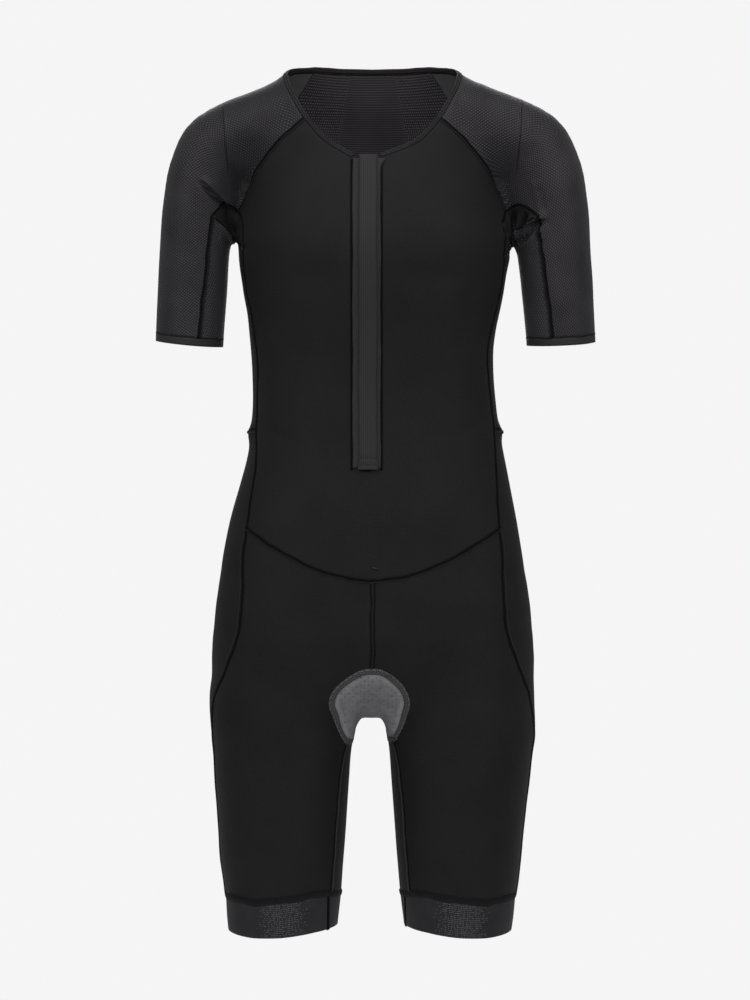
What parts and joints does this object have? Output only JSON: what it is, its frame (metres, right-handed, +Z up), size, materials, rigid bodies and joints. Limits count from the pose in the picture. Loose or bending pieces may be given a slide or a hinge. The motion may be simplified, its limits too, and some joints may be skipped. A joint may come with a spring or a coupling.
{
  "type": "triathlon suit",
  "caption": "One-piece short-sleeved triathlon suit turned inside out, filled out as worn, with raglan sleeves, a front zip, gripper leg bands and a seat pad.",
  "frame": {"origin": "middle of the neck, level with the shoulders that hold the suit", "axes": "+Z up, +X to the right seen from the front, the front with the zip faces -Y"},
  "size_m": [0.468, 0.2302, 0.9248],
  "materials": {
    "smooth_knit": "matte smooth stretch knit, black",
    "open_knit": "textured open stretch knit, black",
    "band_knit": "folded stretch band, black",
    "gripper_band": "elastic band with fine silicone dots, black",
    "pad_foam": "perforated foam pad with a brushed knit face, dark grey",
    "pad_border": "overlocked edge, black",
    "zip_tape": "woven tape, black",
    "zip_coil": "nylon coil, black",
    "zip_metal": "black coated metal"
  },
  "bodies": {
    "root": {"front_panel": "smooth_knit", "back_panel": "open_knit", "side_panel_left": "smooth_knit", "side_panel_right": "smooth_knit", "sleeve_left": "open_knit", "sleeve_right": "open_knit", "undersleeve_left": "open_knit", "undersleeve_right": "open_knit", "sleeve_band_left": "band_knit", "sleeve_band_right": "band_knit", "front_leg_left": "smooth_knit", "front_leg_right": "smooth_knit", "back_leg_left": "smooth_knit", "back_leg_right": "smooth_knit", "leg_gripper_left": "gripper_band", "leg_gripper_right": "gripper_band", "neck_binding": "band_knit", "zip_tape_left": "zip_tape", "zip_tape_right": "zip_tape", "zip_guard": "band_knit", "zip_coil": "zip_coil", "zip_slider": "zip_metal", "zip_pull": "zip_metal", "seat_pad": "pad_foam", "seat_pad_border": "pad_border"}
  },
  "joints": []
}
